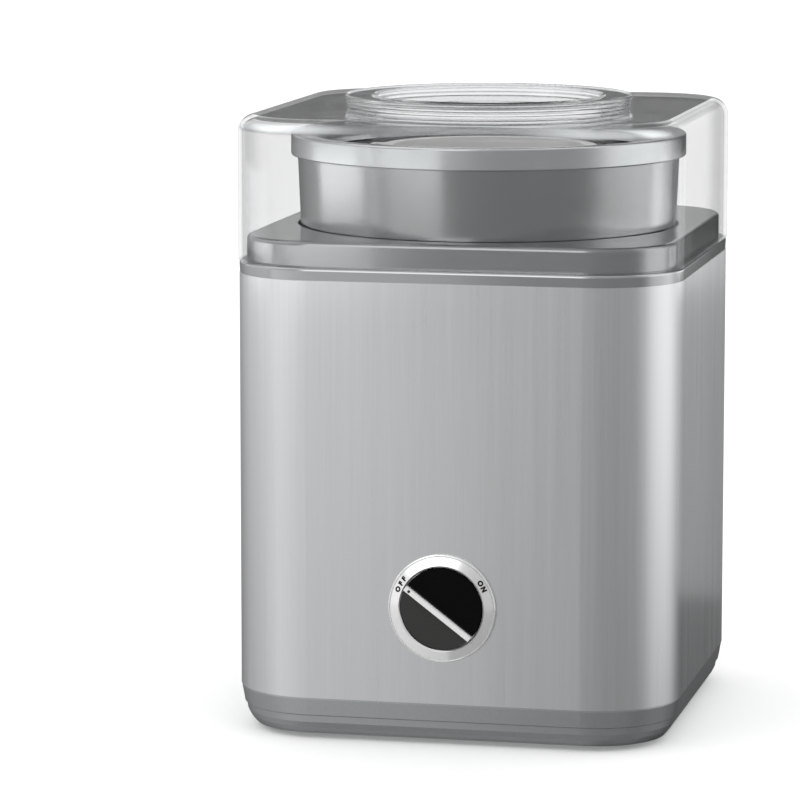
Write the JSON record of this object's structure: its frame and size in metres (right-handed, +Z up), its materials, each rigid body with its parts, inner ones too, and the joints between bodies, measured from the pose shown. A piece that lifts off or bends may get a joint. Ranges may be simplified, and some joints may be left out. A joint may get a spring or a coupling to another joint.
{
  "type": "ice cream maker",
  "caption": "Square steel-wrapped ice cream maker: a geared motor turns a lift-out freezer bowl under a clear lid with an open spout that holds the paddle still.",
  "frame": {"origin": "on the table under the bowl's axis, at the middle of the body", "axes": "+Z up along the bowl's axis, the dial faces -Y, +X to the right seen from the front"},
  "size_m": [0.204, 0.212, 0.2861],
  "materials": {
    "clear_plastic": "polished clear",
    "white_plastic": "satin",
    "liner_metal": "satin",
    "silver_paint": "satin",
    "silver_plastic": "satin silver",
    "rubber": "matte",
    "freezing_liquid": "liquid",
    "dark_plastic": "moulded",
    "zinc_steel": "zinc plated",
    "gear_nylon": "moulded",
    "bronze": "sintered",
    "laminated_steel": "oiled",
    "black_plastic": "moulded",
    "bright_chrome": "polished",
    "grey_plastic": "satin grey",
    "brushed_wrap": "vertical brushed",
    "copper": "enamelled"
  },
  "bodies": {
    "base": {"deck": "silver_plastic", "base_pan": "grey_plastic", "feet": "rubber", "steel_wrap": "brushed_wrap", "seam_strip": "zinc_steel", "housing_screws": "zinc_steel", "shaft_seal": "rubber", "gearbox_tray": "dark_plastic", "gearbox_cover": "dark_plastic", "gearbox_screws": "zinc_steel", "gear_pins": "zinc_steel", "output_bushes": "bronze", "motor_stator": "laminated_steel", "motor_coil": "copper", "coil_bobbin": "white_plastic", "upper_bracket": "zinc_steel", "lower_bracket": "zinc_steel", "motor_bushes": "bronze", "motor_spacers": "zinc_steel", "motor_screws": "zinc_steel", "dial_bezel": "bright_chrome", "switch_bracket": "zinc_steel", "switch_body": "black_plastic", "switch_nut": "zinc_steel", "cord_gland": "rubber"},
    "lid": {"lid": "clear_plastic", "spout_ring": "clear_plastic"},
    "paddle": {"mixing_paddle": "white_plastic"},
    "bowl": {"bowl_liner": "liner_metal", "bowl_shell": "silver_paint", "bowl_rim": "silver_paint", "bowl_gasket": "rubber", "bowl_coolant": "freezing_liquid", "bowl_socket": "dark_plastic"},
    "drive": {"drive_coupling": "dark_plastic", "coupling_screw": "zinc_steel", "output_shaft": "zinc_steel", "output_gear": "gear_nylon", "output_clip": "zinc_steel"},
    "second_idler": {"second_gear": "gear_nylon", "second_bush": "bronze"},
    "first_idler": {"first_gear": "gear_nylon", "first_bush": "bronze"},
    "rotor": {"motor_rotor": "laminated_steel", "motor_shaft": "zinc_steel", "motor_pinion": "bronze", "cooling_fan": "black_plastic"},
    "dial": {"dial": "black_plastic", "dial_grip": "bright_chrome", "switch_spindle": "bronze"}
  },
  "joints": [
    {"name": "lid_lift", "type": "slide", "parent": "base", "child": "lid", "axis": [0, 0, 1], "range_m": [0, 0.36]},
    {"name": "paddle_lift", "type": "slide", "parent": "base", "child": "paddle", "axis": [0, 0, 1], "range_m": [0, 0.3]},
    {"name": "drive_spin", "type": "hinge", "parent": "base", "child": "drive", "pos_m": [0, 0, 0.1], "axis": [0, 0, 1], "continuous": true},
    {"name": "bowl_lift", "type": "slide", "parent": "drive", "child": "bowl", "axis": [0, 0, 1], "range_m": [0, 0.15]},
    {"name": "second_idler_spin", "type": "hinge", "parent": "base", "child": "second_idler", "pos_m": [-0.03876, 0.01411, 0.08], "axis": [0, 0, 1], "continuous": true},
    {"name": "first_idler_spin", "type": "hinge", "parent": "base", "child": "first_idler", "pos_m": [-0.02376, 0.04009, 0.075], "axis": [0, 0, 1], "continuous": true},
    {"name": "rotor_spin", "type": "hinge", "parent": "base", "child": "rotor", "pos_m": [0.00578, 0.03488, 0.05], "axis": [0, 0, 1], "continuous": true},
    {"name": "dial_turn", "type": "hinge", "parent": "base", "child": "dial", "pos_m": [0, -0.1015, 0.0638], "axis": [0, 1, 0], "range_deg": [0, 110]}
  ],
  "couplings": [
    {"joint": "lid_lift", "follows": "bowl_lift", "ratio": 2.4},
    {"joint": "paddle_lift", "follows": "bowl_lift", "ratio": 2},
    {"joint": "second_idler_spin", "follows": "drive_spin", "ratio": -4.5},
    {"joint": "first_idler_spin", "follows": "drive_spin", "ratio": 18},
    {"joint": "rotor_spin", "follows": "drive_spin", "ratio": -72}
  ]
}
